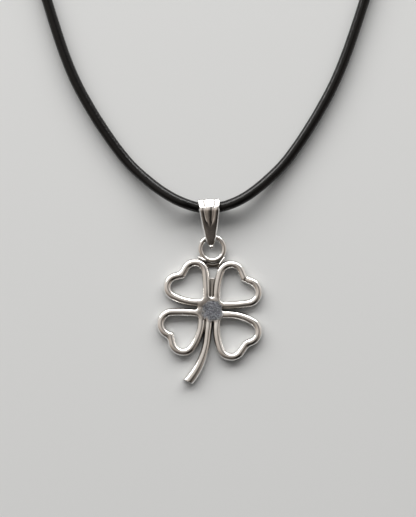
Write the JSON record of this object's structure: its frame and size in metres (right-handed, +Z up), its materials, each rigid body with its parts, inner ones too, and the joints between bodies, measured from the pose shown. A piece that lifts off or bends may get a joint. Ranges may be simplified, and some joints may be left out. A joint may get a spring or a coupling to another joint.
{
  "type": "clover pendant on a leather cord",
  "caption": "Open wire clover pendant with heart-shaped leaves and a curved stem, hung by a tapered bail on a round leather cord that a barrel clasp closes.",
  "frame": {"origin": "middle of the clover on its flat back, on the surface that the necklace lies on", "axes": "+Y from the clover towards the clasp, +Z up, out of the clover's front, +X to the clover's right as seen from the front"},
  "size_m": [0.0888, 0.2237, 0.0032],
  "materials": {
    "silver": "polished silver with fine wear, darkened in its recesses",
    "leather": "black, semi-gloss"
  },
  "bodies": {
    "root": {"clover": "silver", "bail": "silver", "cord": "leather", "clasp": "silver"}
  },
  "joints": []
}
